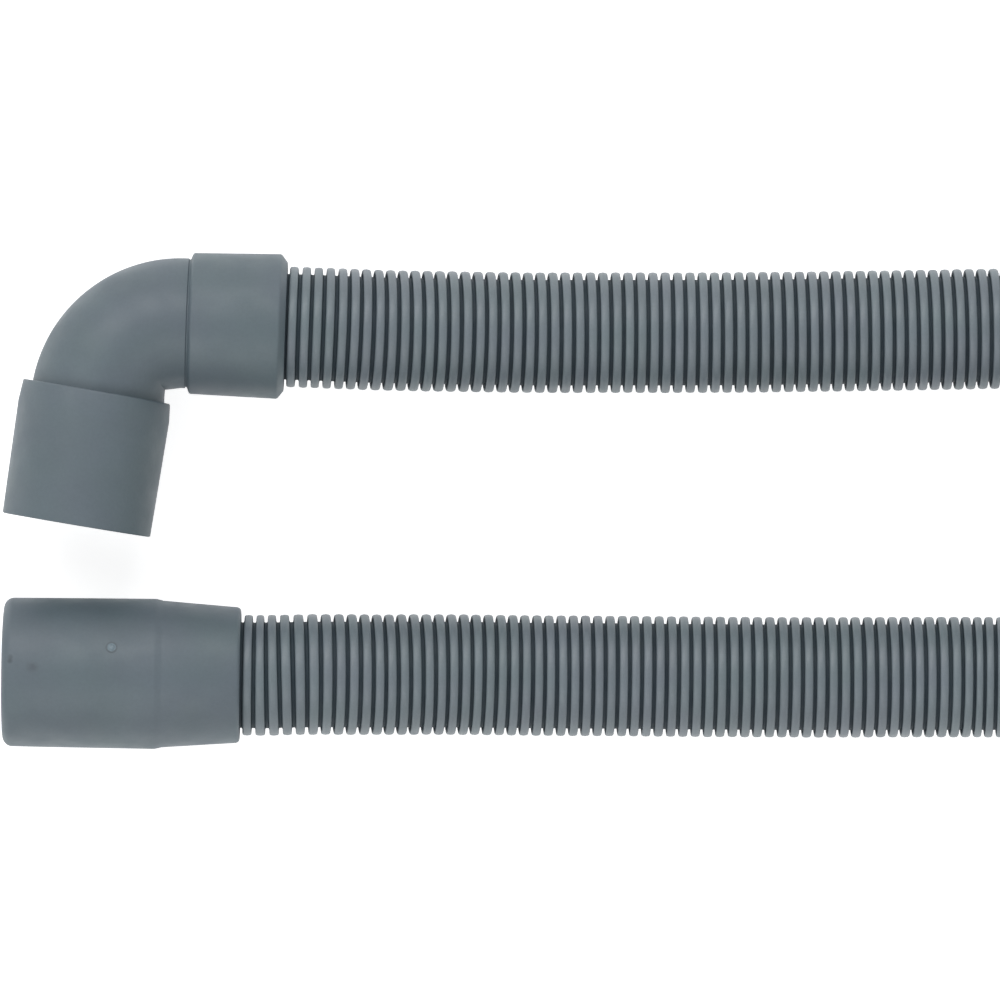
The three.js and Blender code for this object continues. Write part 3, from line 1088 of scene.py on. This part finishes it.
studio = {
    "floorColour": (0.90, 0.90, 0.90),
    "floorSize": 6.0,
    "floorRoughness": 0.9,
    "floorGlow": 0.8,
    "levelOverhead": 0.12,
    "levelAtHorizon": 0.80,
    "horizonUpTo": 0.1,
    "overheadFrom": 0.9,
    "softboxSize": (2.4, 1.0),
    "softboxAim": (0.1, 0, 0),
    "softboxes": [
        ("upperSoftbox", (-0.3, 1.25, 1.55), 20.0),
        ("lowerSoftbox", (-0.3, -1.25, 1.55), 11),
    ],
}


def clearRays(tree):
    # 1 for what the camera sees directly, in gloss or through glass
    path = addNode(tree, "ShaderNodeLightPath")
    seen = combine(tree, "MAXIMUM", path.outputs["Is Camera Ray"], path.outputs["Is Glossy Ray"])
    return combine(tree, "MAXIMUM", seen, path.outputs["Is Transmission Ray"])


def makeFloor(t):
    bpy.ops.object.select_all(action="DESELECT")
    bpy.ops.mesh.primitive_plane_add(size=t["floorSize"], location=(0, 0, 0))
    floor = bpy.context.object
    floor.name = floor.data.name = "floor"
    material, tree, shader = newMaterial("whiteFloor", t["floorColour"], t["floorRoughness"])
    shader.inputs["Specular IOR Level"].default_value = 0.0
    shader.inputs["Emission Color"].default_value = (1, 1, 1, 1)
    glow = combine(tree, "MULTIPLY", clearRays(tree), t["floorGlow"])
    tree.links.new(glow, shader.inputs["Emission Strength"])
    floor.data.materials.append(material)


def addSoftbox(name, place, aim, size, power):
    data = bpy.data.lights.new(name, "AREA")
    data.shape = "RECTANGLE"
    data.size, data.size_y = size
    data.energy = power
    lamp = bpy.data.objects.new(name, data)
    bpy.context.scene.collection.objects.link(lamp)
    lamp.location = place
    lamp.rotation_euler = (Vector(aim) - Vector(place)).to_track_quat("-Z", "Y").to_euler()


def makeWorld(t):
    # Dimmer overhead, where the camera is, and brighter round the sides, like a light tent
    world = bpy.data.worlds.new("studio")
    bpy.context.scene.world = world
    world.use_nodes = True
    tree = world.node_tree
    background = tree.nodes["Background"]
    background.inputs["Color"].default_value = (1, 1, 1, 1)
    direction = addNode(tree, "ShaderNodeTexCoord")
    split = addNode(tree, "ShaderNodeSeparateXYZ")
    level = addNode(tree, "ShaderNodeMapRange", interpolation_type="SMOOTHSTEP")
    level.inputs["From Min"].default_value = t["horizonUpTo"]
    level.inputs["From Max"].default_value = t["overheadFrom"]
    level.inputs["To Min"].default_value = t["levelAtHorizon"]
    level.inputs["To Max"].default_value = t["levelOverhead"]
    white = addNode(tree, "ShaderNodeMix", data_type="FLOAT")
    white.inputs["B"].default_value = 1.0
    tree.links.new(direction.outputs["Generated"], split.inputs[0])
    tree.links.new(split.outputs["Z"], level.inputs["Value"])
    tree.links.new(clearRays(tree), white.inputs["Factor"])
    tree.links.new(level.outputs[0], white.inputs["A"])
    tree.links.new(white.outputs[0], background.inputs["Strength"])


makeFloor(studio)
makeWorld(studio)
for name, place, power in studio["softboxes"]:
    addSoftbox(name, place, studio["softboxAim"], studio["softboxSize"], power)
bpy.context.scene.view_settings.view_transform = "Standard"
say("lights on")
